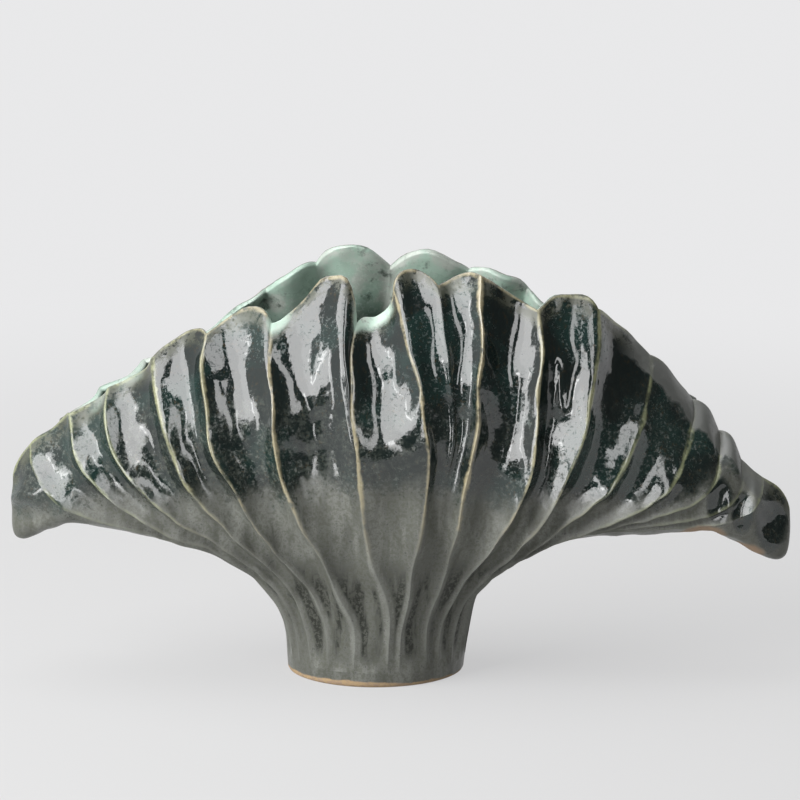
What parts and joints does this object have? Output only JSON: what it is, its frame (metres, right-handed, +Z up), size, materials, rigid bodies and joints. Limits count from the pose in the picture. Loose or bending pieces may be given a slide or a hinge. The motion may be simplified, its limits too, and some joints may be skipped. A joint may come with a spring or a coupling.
{
  "type": "fan vase",
  "caption": "Hand-built stoneware fan vase: a round foot and fluted stem open into a wide pleated pocket with a ruffled mouth and hanging wing tips, for holding cut flowers.",
  "frame": {"origin": "centre of the underside of the foot, on the surface that the vase stands on", "axes": "+X towards the right wing in the front view, +Y towards the back wall so the front faces -Y, +Z up"},
  "size_m": [0.4019, 0.1181, 0.2169],
  "materials": {
    "green_glaze": "glossy dark green glaze that breaks to pale ochre on crests and rim, pale mint inside",
    "bare_clay": "matt unglazed buff stoneware"
  },
  "bodies": {
    "root": {"floor_slab": "bare_clay", "stem_collar": "green_glaze", "front_wall": "green_glaze", "back_wall": "green_glaze", "left_keel": "green_glaze", "right_keel": "green_glaze", "left_wing_tip": "green_glaze", "right_wing_tip": "green_glaze"}
  },
  "joints": []
}
